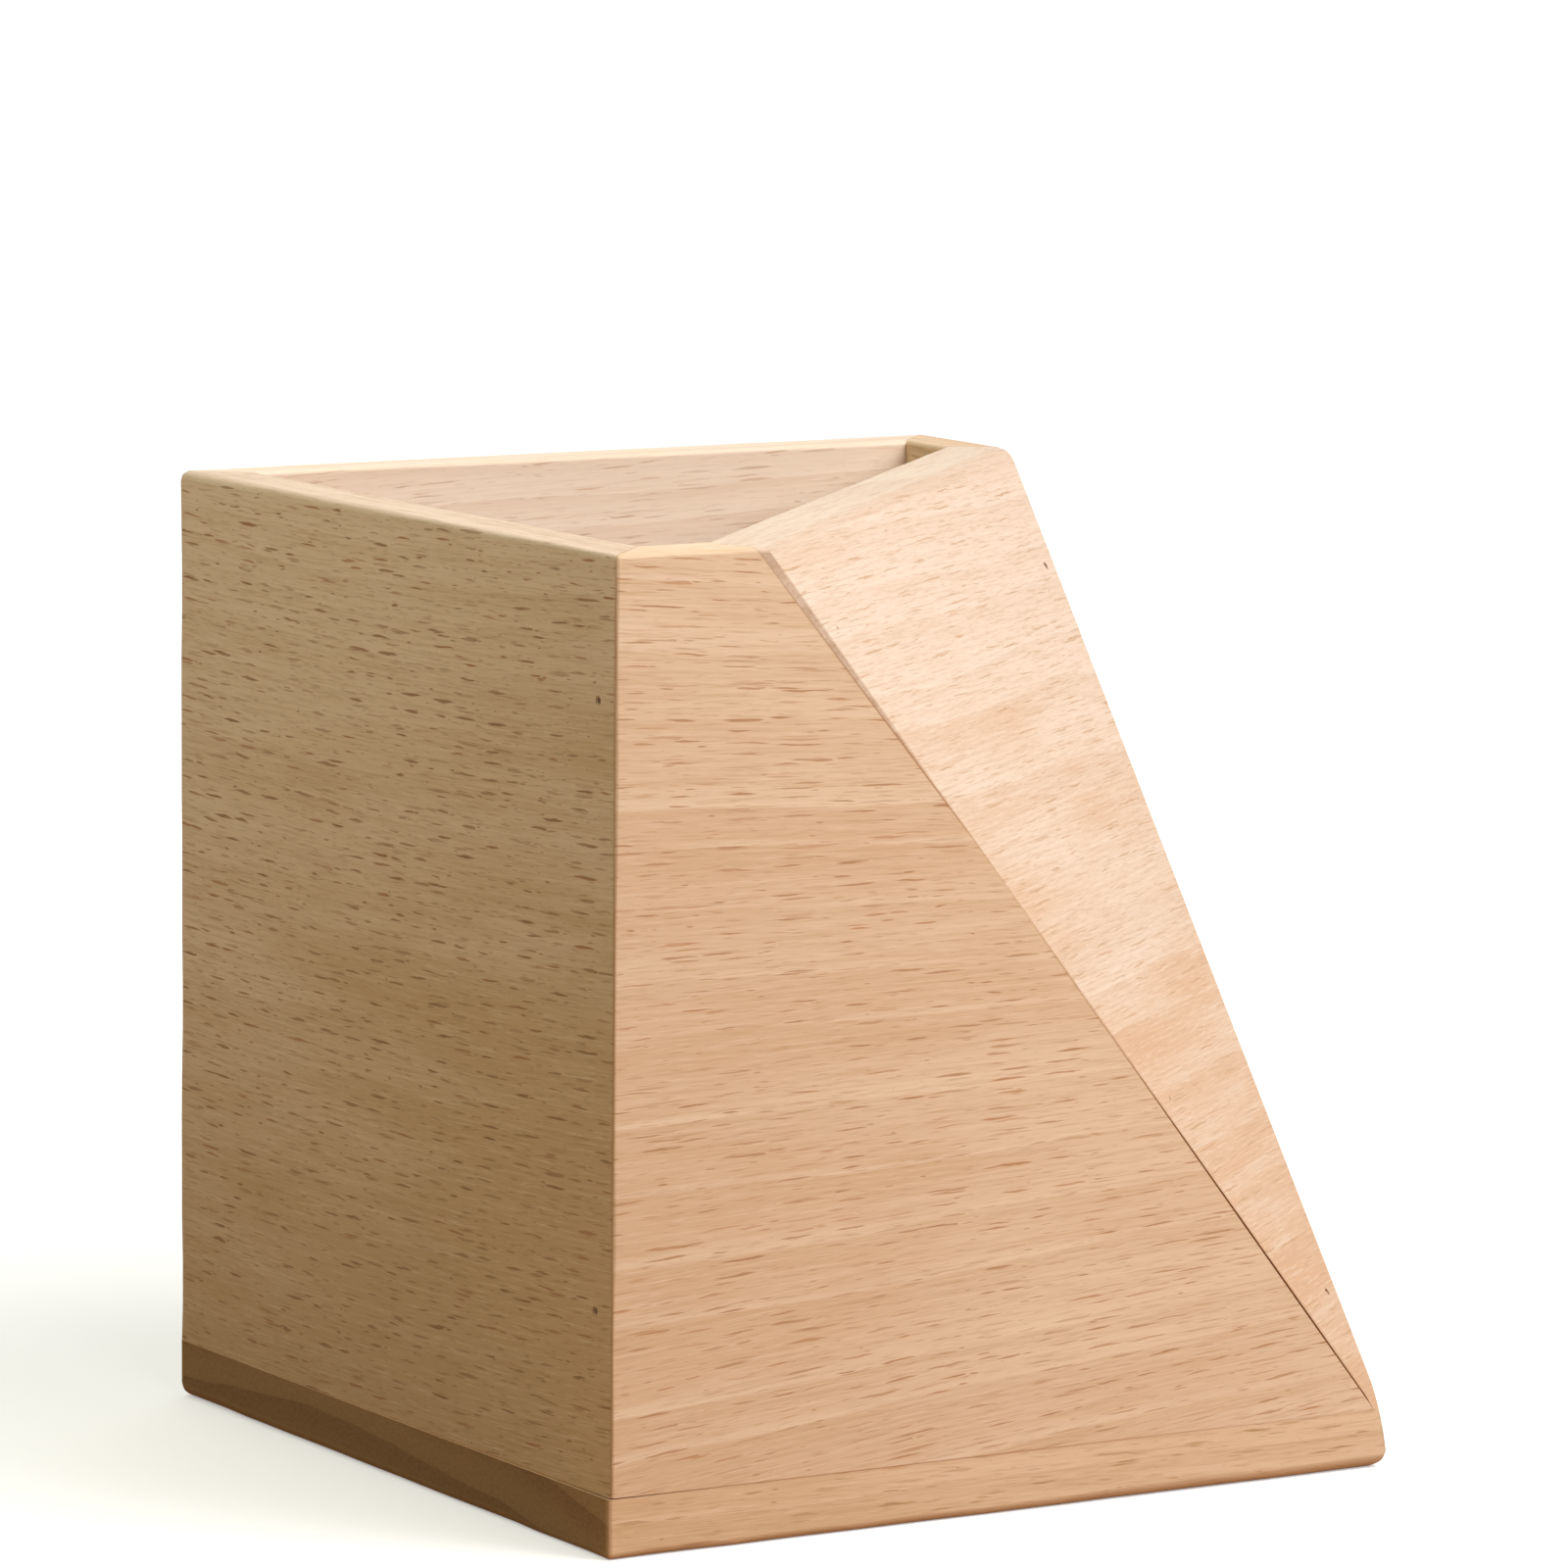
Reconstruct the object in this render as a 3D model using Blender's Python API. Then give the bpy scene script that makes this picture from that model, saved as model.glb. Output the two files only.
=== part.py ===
"""A pen holder of mitred beech boards: a square cup with one corner cut away by a sloping panel."""

import math

import bmesh
import bpy
from mathutils import Matrix, Vector

# Sizes are in metres. The origin is under the middle of the cup, on the table. The front faces -Y and the
# sloping panel takes away the corner between the front and right walls.

# The cup
SIDE = 0.0935  # outside width of the square body, both ways
HEIGHT = 0.100  # from the table to the rim
RIM_RUN = 0.0175  # length of the front and right walls left at the rim
SLOPE_FOOT = 0.0045  # height at which the sloping face meets the upright edge of the cut corner

# The boards
WALL_THICKNESS = 0.0065
PANEL_THICKNESS = 0.0059
BASE_THICKNESS = 0.006
GLUE_GAP = 0.0003  # between the sawn faces of two boards
STOCK_ALLOWANCE = 0.003  # spare wood around a board before it is brought to size

# The sanding
FOOT_ROUND = 0.0012
EDGE_ROUND = 0.0006
RIM_INSIDE_ROUND = 0.0004
ROUND_SEGMENTS = 3

# The headless pin nails
PIN_RADIUS = 0.0003
PIN_LENGTH = 0.012
PIN_POINT = 0.001  # length of the tapered end
PIN_SUNK = 0.0004  # how far the head is punched below the face
PIN_CLEARANCE = 0.00006  # between a pin and the wood around it
PIN_SIDES = 12
PIN_SHARP_ANGLE = math.radians(40)  # edges turned further than this are shaded sharp
CORNER_PIN_DROP = 0.0146  # from the rim down to the upper pin of a square corner
CORNER_PIN_RISE = 0.0246  # from the table up to the lower one
CORNER_PIN_SETBACK = 0.0033  # from the outer face of the wall that the pin enters
FRONT_SLOPE_PIN_DROP = 0.0088  # the same along the panel's front edge
FRONT_SLOPE_PIN_RISE = 0.0406
RIGHT_SLOPE_PIN_DROP = 0.0118  # the same along its right edge
RIGHT_SLOPE_PIN_RISE = 0.0175
SLOPE_PIN_SETBACK = 0.0028  # from the outer face of the wall that the pin enters

# Beech, as linear colours, a little different from board to board
BEECH_LEFT = (0.60, 0.42, 0.25)
BEECH_FRONT = (0.70, 0.46, 0.30)
BEECH_RIGHT = (0.68, 0.45, 0.29)
BEECH_BACK = (0.66, 0.43, 0.28)
BEECH_PANEL = (0.80, 0.55, 0.36)
BEECH_BASE = (0.55, 0.34, 0.20)
BEECH_ROUGHNESS = 0.55
STEEL_GREY = (0.16, 0.15, 0.14)
STEEL_ROUGHNESS = 0.4

HALF = SIDE / 2
LEFTWARD = Vector((-1, 0, 0))
BACKWARD = Vector((0, 1, 0))
FRONTWARD = Vector((0, -1, 0))
RIGHTWARD = Vector((1, 0, 0))
UPWARD = Vector((0, 0, 1))


def clear_scene():
    for old in list(bpy.data.objects):
        bpy.data.objects.remove(old, do_unlink=True)


def meeting_point(*planes):
    """The point where three planes cross. A plane is a point on it and its normal."""
    normals = Matrix([normal for _, normal in planes])
    return normals.inverted() @ Vector([normal.dot(point) for point, normal in planes])


def plane_through(first, second, third):
    return first, (second - first).cross(third - first).normalized()


def moved(plane, distance):
    """The plane moved along its own normal."""
    point, normal = plane
    return point + normal * distance, normal


def sawn_block(cuts):
    """A block of stock that holds the whole cup, with the wood beyond each cut plane taken off."""
    block = bmesh.new()
    bmesh.ops.create_cube(block, size=max(SIDE, HEIGHT) + 2 * STOCK_ALLOWANCE)
    bmesh.ops.translate(block, verts=block.verts, vec=UPWARD * (HEIGHT / 2))
    for point, normal in cuts:
        whole = block.verts[:] + block.edges[:] + block.faces[:]
        sawn = bmesh.ops.bisect_plane(
            block, geom=whole, plane_co=point, plane_no=normal, clear_outer=True
        )
        rim = [item for item in sawn["geom_cut"] if isinstance(item, bmesh.types.BMEdge)]
        bmesh.ops.contextual_create(block, geom=rim)
    bmesh.ops.recalc_face_normals(block, faces=block.faces)
    return block


def object_from(form, name):
    mesh = bpy.data.meshes.new(name)
    form.to_mesh(mesh)
    form.free()
    made = bpy.data.objects.new(name, mesh)
    bpy.context.scene.collection.objects.link(made)
    return made


def as_guide(helper):
    """Marks an object that shapes others and isn't a piece itself."""
    helper.hide_render = True
    helper.display_type = "WIRE"
    return helper


def principled(name, colour, roughness, metallic):
    material = bpy.data.materials.new(name)
    material.use_nodes = True
    shader = material.node_tree.nodes["Principled BSDF"]
    shader.inputs["Base Color"].default_value = (*colour, 1)
    shader.inputs["Roughness"].default_value = roughness
    shader.inputs["Metallic"].default_value = metallic
    return material


# The outer faces of the cup

rim_plane = (UPWARD * HEIGHT, UPWARD)
left_face = (LEFTWARD * HALF, LEFTWARD)
back_face = (BACKWARD * HALF, BACKWARD)
front_face = (FRONTWARD * HALF, FRONTWARD)
right_face = (RIGHTWARD * HALF, RIGHTWARD)

slope_front = Vector((RIM_RUN - HALF, -HALF, HEIGHT))
slope_right = Vector((HALF, HALF - RIM_RUN, HEIGHT))
slope_tip = Vector((HALF, -HALF, SLOPE_FOOT))
slope_face = plane_through(slope_front, slope_tip, slope_right)

# Their inner faces, a board's thickness in

left_inside = moved(left_face, -WALL_THICKNESS)
back_inside = moved(back_face, -WALL_THICKNESS)
front_inside = moved(front_face, -WALL_THICKNESS)
right_inside = moved(right_face, -WALL_THICKNESS)
slope_inside = moved(slope_face, -PANEL_THICKNESS)
wall_middle = HALF - WALL_THICKNESS / 2  # from the cup's axis to the middle of a wall's thickness

# The joints. Each mitre runs from the outer edge line of two boards to their inner one.

foot_joint = (UPWARD * (BASE_THICKNESS + GLUE_GAP / 2), UPWARD)
rising_mitre = (Vector((0, 0, 0)), (RIGHTWARD + FRONTWARD).normalized())
falling_mitre = (Vector((0, 0, 0)), (RIGHTWARD + BACKWARD).normalized())
front_slope_mitre = plane_through(
    slope_front, slope_tip, meeting_point(front_inside, slope_inside, rim_plane)
)
right_slope_mitre = plane_through(
    slope_right, slope_tip, meeting_point(right_inside, slope_inside, rim_plane)
)


def weigh_edges(form, radius_of, widest):
    """Stores on each edge the share of the widest rounding that it is sanded to."""
    weights = form.edges.layers.float.new("bevel_weight_edge")
    for edge in form.edges:
        edge[weights] = radius_of(edge) / widest


def lies_at(height):
    """A test of whether an edge or a face lies at this height, to within half a glue gap."""
    return lambda item: all(abs(corner.co.z - height) < GLUE_GAP / 2 for corner in item.verts)


def sanded_shell():
    """The whole cup in one piece, hollowed and with its edges rounded, as a guide to cut the boards to."""
    at_foot = lies_at(0)
    at_rim = lies_at(HEIGHT)
    widest = max(FOOT_ROUND, EDGE_ROUND, RIM_INSIDE_ROUND)

    body = sawn_block([
        rim_plane, (Vector((0, 0, 0)), -UPWARD), left_face, back_face, front_face, right_face, slope_face,
    ])
    weigh_edges(body, lambda edge: FOOT_ROUND if at_foot(edge) else EDGE_ROUND, widest)

    hollow = sawn_block([
        rim_plane, (foot_joint[0], -UPWARD), left_inside, back_inside, front_inside, right_inside,
        slope_inside,
    ])
    weigh_edges(hollow, lambda edge: RIM_INSIDE_ROUND if at_rim(edge) else 0, widest)
    bmesh.ops.reverse_faces(hollow, faces=hollow.faces)

    hollow_mesh = bpy.data.meshes.new("hollow")
    hollow.to_mesh(hollow_mesh)
    hollow.free()
    body.from_mesh(hollow_mesh)
    bpy.data.meshes.remove(hollow_mesh)

    # The rim is the ring left between the two top faces
    rim_edges = [edge for edge in body.edges if at_rim(edge)]
    top_faces = [face for face in body.faces if at_rim(face)]
    bmesh.ops.delete(body, geom=top_faces, context="FACES_ONLY")
    bmesh.ops.bridge_loops(body, edges=rim_edges)

    shell = as_guide(object_from(body, "sanded_shell"))
    sanding = shell.modifiers.new("sanding", "BEVEL")
    sanding.limit_method = "WEIGHT"
    sanding.offset_type = "OFFSET"
    sanding.width = widest
    sanding.segments = ROUND_SEGMENTS
    return shell


def round_bar(name, radius, top, bottom, point):
    """A round bar down the local Z axis, drawn to a point over the last stretch of it."""
    bar = bmesh.new()
    bmesh.ops.create_circle(
        bar, cap_ends=True, segments=PIN_SIDES, radius=radius, matrix=Matrix.Translation(UPWARD * top)
    )
    drawn = bmesh.ops.extrude_face_region(bar, geom=bar.faces[:])["geom"]
    end_face = next(item for item in drawn if isinstance(item, bmesh.types.BMFace))
    bmesh.ops.translate(bar, verts=end_face.verts, vec=UPWARD * (bottom + point - top))
    if point:
        tip = bmesh.ops.poke(bar, faces=[end_face])["verts"]
        bmesh.ops.translate(bar, verts=tip, vec=-UPWARD * point)
    bmesh.ops.recalc_face_normals(bar, faces=bar.faces)
    mesh = bpy.data.meshes.new(name)
    bar.to_mesh(mesh)
    bar.free()
    mesh.shade_smooth()
    mesh.set_sharp_from_angle(angle=PIN_SHARP_ANGLE)
    return mesh


def drive_pin(name, entry, direction):
    """Sets a pin nail into a board at its entry point, with the bore that it makes as a guide."""
    for title, mesh in ((name, pin_mesh), (name + "_bore", bore_mesh)):
        driven = bpy.data.objects.new(title, mesh)
        driven.rotation_mode = "QUATERNION"
        driven.rotation_quaternion = direction.to_track_quat("-Z", "Y")
        driven.location = entry + direction * PIN_SUNK
        driven.parent = holder
        if mesh is pin_mesh:
            bpy.context.scene.collection.objects.link(driven)
        else:
            bores.objects.link(as_guide(driven))


def drive_corner_pins(name, through, into):
    """Two pins through one wall into the end of the next, one above the other."""
    for place, height in (("upper", HEIGHT - CORNER_PIN_DROP), ("lower", CORNER_PIN_RISE)):
        level = (UPWARD * height, UPWARD)
        entry = meeting_point(through, moved(into, -CORNER_PIN_SETBACK), level)
        drive_pin(f"{name}_{place}", entry, -through[1])


def drive_slope_pins(name, wall_face, edge_top, drop, rise):
    """Two pins through the panel, square to its edge and lying in the thickness of the wall."""
    along_edge = (slope_tip - edge_top).normalized()
    direction = along_edge.cross(wall_face[1])
    if direction.dot(slope_face[1]) > 0:
        direction = -direction
    for place, height in (("upper", HEIGHT - drop), ("lower", rise)):
        level = (UPWARD * height, UPWARD)
        entry = meeting_point(slope_face, moved(wall_face, -SLOPE_PIN_SETBACK), level)
        drive_pin(f"{name}_{place}", entry, direction)


def drive_base_pin(name, wall_face):
    """One pin from below through the base into the middle of a wall's foot."""
    drive_pin(name, wall_face[1] * wall_middle, UPWARD)


def make_board(name, colour, heart, joints, back_of_stock=()):
    """A board sawn at its joints, brought to its faces and sanded edges, and bored for the pins."""
    cuts = list(back_of_stock)
    for point, normal in joints:
        away = normal if normal.dot(point - heart) > 0 else -normal
        cuts.append((point - away * (GLUE_GAP / 2), away))
    board = object_from(sawn_block(cuts), name)
    board.data.materials.append(principled(name, colour, BEECH_ROUGHNESS, 0))
    board.parent = holder

    facing = board.modifiers.new("faces_and_edges", "BOOLEAN")
    facing.operation = "INTERSECT"
    facing.solver = "EXACT"
    facing.object = shell

    boring = board.modifiers.new("pin_bores", "BOOLEAN")
    boring.operation = "DIFFERENCE"
    boring.solver = "EXACT"
    boring.operand_type = "COLLECTION"
    boring.collection = bores


clear_scene()
holder = bpy.data.objects.new("pen_holder", None)
bpy.context.scene.collection.objects.link(holder)
bores = bpy.data.collections.new("bores")
bpy.context.scene.collection.children.link(bores)

shell = sanded_shell()
pin_mesh = round_bar("pin_nail", PIN_RADIUS, 0, -PIN_LENGTH, PIN_POINT)
pin_mesh.materials.append(principled("pin_steel", STEEL_GREY, STEEL_ROUGHNESS, 1))
bore_mesh = round_bar(
    "pin_bore", PIN_RADIUS + PIN_CLEARANCE, STOCK_ALLOWANCE, -PIN_LENGTH - PIN_CLEARANCE, 0
)

drive_corner_pins("pin_left_front", left_face, front_face)
drive_corner_pins("pin_back_left", back_face, left_face)
drive_corner_pins("pin_back_right", back_face, right_face)
drive_slope_pins(
    "pin_slant_front", front_face, slope_front, FRONT_SLOPE_PIN_DROP, FRONT_SLOPE_PIN_RISE
)
drive_slope_pins(
    "pin_slant_right", right_face, slope_right, RIGHT_SLOPE_PIN_DROP, RIGHT_SLOPE_PIN_RISE
)
drive_base_pin("pin_base_left", left_face)
drive_base_pin("pin_base_back", back_face)
drive_base_pin("pin_base_front", front_face)
drive_base_pin("pin_base_right", right_face)

# Each board's heart is a point inside it, which tells the side of every joint that the board is on
mid_height = UPWARD * (HEIGHT / 2)
square_joints = [foot_joint, rising_mitre, falling_mitre]

make_board("base_board", BEECH_BASE, UPWARD * (BASE_THICKNESS / 2), [foot_joint])
make_board("left_wall", BEECH_LEFT, LEFTWARD * wall_middle + mid_height, square_joints)
make_board("back_wall", BEECH_BACK, BACKWARD * wall_middle + mid_height, square_joints)
make_board(
    "front_wall",
    BEECH_FRONT,
    FRONTWARD * wall_middle + LEFTWARD * (HALF / 2) + mid_height,
    square_joints + [front_slope_mitre],
)
make_board(
    "right_wall",
    BEECH_RIGHT,
    RIGHTWARD * wall_middle + BACKWARD * (HALF / 2) + mid_height,
    square_joints + [right_slope_mitre],
)
panel_point, panel_normal = moved(slope_inside, -STOCK_ALLOWANCE)
make_board(
    "slant_panel",
    BEECH_PANEL,
    (slope_front + slope_right + slope_tip) / 3 - slope_face[1] * (PANEL_THICKNESS / 2),
    [foot_joint, front_slope_mitre, right_slope_mitre],
    back_of_stock=[(panel_point, -panel_normal)],
)
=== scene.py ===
"""The looks of a pen cup: six beech boards, mitred, glued, pinned and sanded together."""

import math

import bmesh
import bpy
from mathutils import Matrix, Vector, noise


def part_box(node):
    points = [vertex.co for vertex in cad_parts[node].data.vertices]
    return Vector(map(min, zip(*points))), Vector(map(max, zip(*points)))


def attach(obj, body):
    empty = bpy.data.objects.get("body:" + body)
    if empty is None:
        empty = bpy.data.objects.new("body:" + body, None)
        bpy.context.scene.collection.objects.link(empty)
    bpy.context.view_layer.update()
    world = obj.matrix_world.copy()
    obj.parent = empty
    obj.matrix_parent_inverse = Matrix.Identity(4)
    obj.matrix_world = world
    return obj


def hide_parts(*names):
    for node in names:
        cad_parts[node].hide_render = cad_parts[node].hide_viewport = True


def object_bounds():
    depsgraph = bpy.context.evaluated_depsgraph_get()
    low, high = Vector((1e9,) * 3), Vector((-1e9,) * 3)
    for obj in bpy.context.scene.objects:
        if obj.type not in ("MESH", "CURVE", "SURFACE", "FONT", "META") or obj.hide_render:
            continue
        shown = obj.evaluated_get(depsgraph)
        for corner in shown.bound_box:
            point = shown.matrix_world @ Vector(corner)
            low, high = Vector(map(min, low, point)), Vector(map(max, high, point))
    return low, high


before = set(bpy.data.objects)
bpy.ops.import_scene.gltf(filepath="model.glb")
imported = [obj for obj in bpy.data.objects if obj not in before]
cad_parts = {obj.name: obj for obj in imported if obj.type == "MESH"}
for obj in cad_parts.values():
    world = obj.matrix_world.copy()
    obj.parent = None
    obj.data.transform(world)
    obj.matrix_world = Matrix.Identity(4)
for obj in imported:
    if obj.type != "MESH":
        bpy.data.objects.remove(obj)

cad_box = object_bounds()

# The base board
# A square of beech that the walls stand on. Its grain runs along the front, so its left and right edges are
# end grain. The walls are glued down on it, and its foot and its far corners are sanded round.

MM = 0.001
LEFTWARD = Vector((-1, 0, 0))
RIGHTWARD = Vector((1, 0, 0))
FRONTWARD = Vector((0, -1, 0))
BACKWARD = Vector((0, 1, 0))
UPWARD = Vector((0, 0, 1))

HAIRLINE = 0.008 * MM  # what shows between two boards that are glued tight
RIM_RUN = 17.5 * MM  # length of the front and right walls left at the rim
SLOPE_FOOT = 4.5 * MM  # height at which the sloping face meets the upright edge of the cut corner
half = cad_box[1].x  # of the cup's width
height = cad_box[1].z
heart = UPWARD * height / 2  # a point inside the cup


def corner(x, y, z):
    """A point given by its place in the cup's box, from -1 to 1 across it and in metres up it."""
    return Vector((x * half, y * half, z))


def meeting(*planes):
    """The point where three planes cross. A plane is a point on it and the direction it faces."""
    normals = Matrix([normal for _, normal in planes])
    return normals.inverted() @ Vector([normal.dot(point) for point, normal in planes])


def away_from(inside, plane):
    """The plane, turned so that it faces away from the inside point."""
    point, normal = plane
    return point, -normal if normal.dot(inside - point) > 0 else normal


def through(first, second, third):
    """The plane through three points that faces away from the heart of the cup."""
    normal = (second - first).cross(third - first).normalized()
    return away_from(heart, (first, normal))


def moved(plane, distance):
    """The plane moved the way it faces."""
    return plane[0] + plane[1] * distance, plane[1]


def gap_to(plane, point):
    """How far a point lies from a plane."""
    return abs((point - plane[0]).dot(plane[1]))


foot = (Vector((0, 0, 0)), -UPWARD)
rim = (corner(0, 0, height), UPWARD)
base_left = (corner(-1, 1, 0), LEFTWARD)
back_face = (corner(1, 1, 0), BACKWARD)
front_face = (corner(-1, -1, 0), FRONTWARD)
right_face = (corner(1, -1, 0), RIGHTWARD)
slope_front = corner(-1, -1, height) + RIGHTWARD * RIM_RUN
slope_right = corner(1, 1, height) + FRONTWARD * RIM_RUN
slope_tip = corner(1, -1, SLOPE_FOOT)
slope = through(slope_front, slope_right, slope_tip)
base_joint = (UPWARD * (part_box("base_board")[1].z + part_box("left_wall")[0].z) / 2, UPWARD)

# The foot of the slope is sanded round into the upright edge of the corner
TIP_ROUND = 25 * MM
TIP_STEPS = 8
corner_way = (RIGHTWARD + FRONTWARD).normalized()
lean_back = math.asin(slope[1].z)
tip_centre = slope_tip - corner_way * TIP_ROUND - UPWARD * TIP_ROUND * math.tan(lean_back / 2)
tip_cuts = [slope]
for step in range(TIP_STEPS):
    turn = lean_back * step / TIP_STEPS
    tip_way = corner_way * math.cos(turn) + UPWARD * math.sin(turn)
    tip_cuts.append((tip_centre + tip_way * TIP_ROUND, tip_way))


def sawn(cuts):
    """A block of stock with the wood beyond each cut plane sawn off."""
    block = bmesh.new()
    bmesh.ops.create_cube(block, size=4 * height)
    for point, normal in cuts:
        whole = block.verts[:] + block.edges[:] + block.faces[:]
        cut = bmesh.ops.bisect_plane(block, geom=whole, plane_co=point, plane_no=normal, clear_outer=True)
        cut_edges = [item for item in cut["geom_cut"] if isinstance(item, bmesh.types.BMEdge)]
        bmesh.ops.contextual_create(block, geom=cut_edges)
    bmesh.ops.recalc_face_normals(block, faces=block.faces)
    return block


helpers = []


def helper_from(form, name):
    """A helper object with this form. It is thrown away once the boards are cut."""
    mesh = bpy.data.meshes.new(name)
    form.to_mesh(mesh)
    form.free()
    helper = bpy.data.objects.new(name, mesh)
    bpy.context.scene.collection.objects.link(helper)
    helpers.append(helper)
    return helper


TOUCHING = 0.005 * MM  # a point this near a plane lies in it
SANDING_STEP = 5 * MM  # the hand presses a little harder or softer every few millimetres
SANDING_WAVE = 9 * MM
UNEVENNESS = 0.35  # as a share of each radius
FAR_PRESSURE = 0.5  # harder by this share at the far corner, softer at the near one, which stays crisp
ROUNDING_STEPS = 6


def sanded(form, name, roundings):
    """Rounds the edges where two planes meet, each to its own radius and a little unevenly, as by hand."""
    for edge in form.edges[:]:
        start = edge.verts[0]
        for steps_left in range(round(edge.calc_length() / SANDING_STEP), 1, -1):
            start = bmesh.utils.edge_split(edge, start, 1 / steps_left)[1]
    weights = form.edges.layers.float.new("bevel_weight_edge")
    widest = (1 + FAR_PRESSURE + UNEVENNESS) * max(radius for _, _, radius in roundings)
    for edge in form.edges:
        middle = (edge.verts[0].co + edge.verts[1].co) / 2
        farness = (middle.x + middle.y) / (2 * half)
        pressure = 1 + FAR_PRESSURE * farness + UNEVENNESS * noise.noise(middle / SANDING_WAVE)
        for one, other, radius in roundings:
            if all(gap_to(plane, end.co) < TOUCHING for plane in (one, other) for end in edge.verts):
                edge[weights] = radius * pressure / widest
    helper = helper_from(form, name)
    sanding = helper.modifiers.new("sanding", "BEVEL")
    sanding.limit_method = "WEIGHT"
    sanding.offset_type = "OFFSET"
    sanding.width = widest
    sanding.segments = ROUNDING_STEPS
    sanding.use_clamp_overlap = False
    return helper


def cut_with(board, operation, *tools):
    """Cuts a board with helpers, one after another."""
    for tool in tools:
        cut = board.modifiers.new(tool.name, "BOOLEAN")
        cut.operation = operation
        cut.solver = "EXACT"
        cut.object = tool


PIN_RADIUS = 0.3 * MM
PIN_PLAY = 0.03 * MM
BORE_SIDES = 24
OVERRUN = 1 * MM  # how far a cutter reaches past the wood


def bore(pin, direction, mouth):
    """The hole that holds a pin. Its mouth has its own radius, because the wood closes up over some pins."""
    ends = [end.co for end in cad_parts[pin].data.vertices]
    middle = sum(ends, Vector()) / len(ends)
    reach = [(end - middle).dot(direction) for end in ends]
    shoulder = min(reach) - PIN_PLAY
    turn = direction.to_track_quat("Z", "Y").to_matrix().to_4x4()
    hole = bmesh.new()
    rings = []
    for depth, radius in (
        (shoulder - 2 * OVERRUN, mouth),
        (shoulder, mouth),
        (shoulder, PIN_RADIUS + PIN_PLAY),
        (max(reach) + PIN_PLAY, PIN_RADIUS + PIN_PLAY),
    ):
        seat = Matrix.Translation(middle + direction * depth) @ turn
        ring = bmesh.ops.create_circle(hole, segments=BORE_SIDES, radius=radius, matrix=seat)
        rings.append(ring["verts"])
    for upper, lower in zip(rings, rings[1:]):
        for side in range(BORE_SIDES):
            hole.faces.new((upper[side - 1], upper[side], lower[side], lower[side - 1]))
    hole.faces.new(rings[0])
    hole.faces.new(rings[-1])
    bmesh.ops.recalc_face_normals(hole, faces=hole.faces)
    return helper_from(hole, "bore_for_" + pin)


STAIN_WIDTH = 0.15 * MM  # how far glue and dust darken the wood beside a joint; where a joint stands open, the same brown paints the shade inside it
JOINT_REACH = 0.2 * MM  # a face lies in a joint if it is nearer than this to the joint's plane
ALONG_JOINT = 0.9  # and the cosine of its angle to that plane is above this
CREASE_ANGLE = math.radians(32)


def finished(piece, node, face, along, joints, flats, material):
    """Makes the cut piece into the finished board. Each point keeps its place in the wood in millimetres,
    with X along the grain and Z out of the face."""
    bpy.context.view_layer.update()
    cut_piece = piece.evaluated_get(bpy.context.evaluated_depsgraph_get())
    mesh = bpy.data.meshes.new_from_object(cut_piece)
    mesh.name = node + "_wood"

    form = bmesh.new()
    form.from_mesh(mesh)
    form.normal_update()
    stain_and_gap_shade = form.verts.layers.float.new("joint_stain")
    wear = form.verts.layers.float.new("edge_wear")
    for joint, _ in joints:
        for side in (-1, 1):
            whole = form.verts[:] + form.edges[:] + form.faces[:]
            point, normal = moved(joint, side * (STAIN_WIDTH + HAIRLINE / 2))
            bmesh.ops.bisect_plane(form, geom=whole, dist=TOUCHING / 10, plane_co=point, plane_no=normal)
    for end in form.verts:
        end[stain_and_gap_shade] = 0
        end[wear] = all(gap_to(flat, end.co) > TOUCHING for flat in flats)
    # Faces that lie in a joint are stained: glue and dust, and in the crack and the opened joint, painted
    # shade
    for joint, strength in joints:
        for side in form.faces:
            in_joint = all(gap_to(joint, end.co) < JOINT_REACH for end in side.verts)
            if in_joint and abs(side.normal.dot(joint[1])) > ALONG_JOINT:
                for end in side.verts:
                    end[stain_and_gap_shade] = max(end[stain_and_gap_shade], strength)
    axes = Matrix((along.normalized(), face[1].cross(along).normalized(), face[1]))
    place_in_board = form.verts.layers.float_vector.new("place_in_board")
    for end in form.verts:
        end[place_in_board] = axes @ (end.co - face[0]) / MM
    form.to_mesh(mesh)
    form.free()
    mesh.shade_smooth()
    mesh.set_sharp_from_angle(angle=CREASE_ANGLE)
    mesh.materials.clear()
    mesh.materials.append(material)

    board = bpy.data.objects.new(node + "_finished", mesh)
    bpy.context.scene.collection.objects.link(board)
    evened = board.modifiers.new("even_shading", "WEIGHTED_NORMAL")
    evened.keep_sharp = True
    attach(board, "root")
    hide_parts(node)
    return board


def place(tree, kind, *values, **named):
    """Adds a node and gives its outputs by name. Values fill its inputs in order, capitalised names fill
    the input of that name, and lower-case names are the node's settings."""
    node = tree.nodes.new("ShaderNode" + kind)
    for name, value in named.items():
        if name[0].islower():
            setattr(node, name, value)
    inputs = [socket for socket in node.inputs if socket.enabled]
    filled = list(zip(inputs, values))
    for name, value in named.items():
        if name[0].isupper():
            title = name.replace("_", " ")
            filled.append((next(socket for socket in inputs if socket.name == title), value))
    for socket, value in filled:
        if isinstance(value, bpy.types.NodeSocket):
            tree.links.new(value, socket)
        else:
            socket.default_value = value
    return {socket.name: socket for socket in node.outputs if socket.enabled}


def reckon(tree, operation, *values):
    """One sum in the shader."""
    return place(tree, "Math", *values, operation=operation)["Value"]


def ramp(tree, value, low, high, bottom=0.0, top=1.0):
    """A smooth step from bottom, at low, to top, at high."""
    return place(tree, "MapRange", value, low, high, bottom, top, interpolation_type="SMOOTHSTEP")["Result"]


def cloudy(tree, where, detail, roughness=0.5):
    """Noise between 0 and 1."""
    return place(tree, "TexNoise", where, Scale=1.0, Detail=detail, Roughness=roughness)["Fac"]


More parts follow.
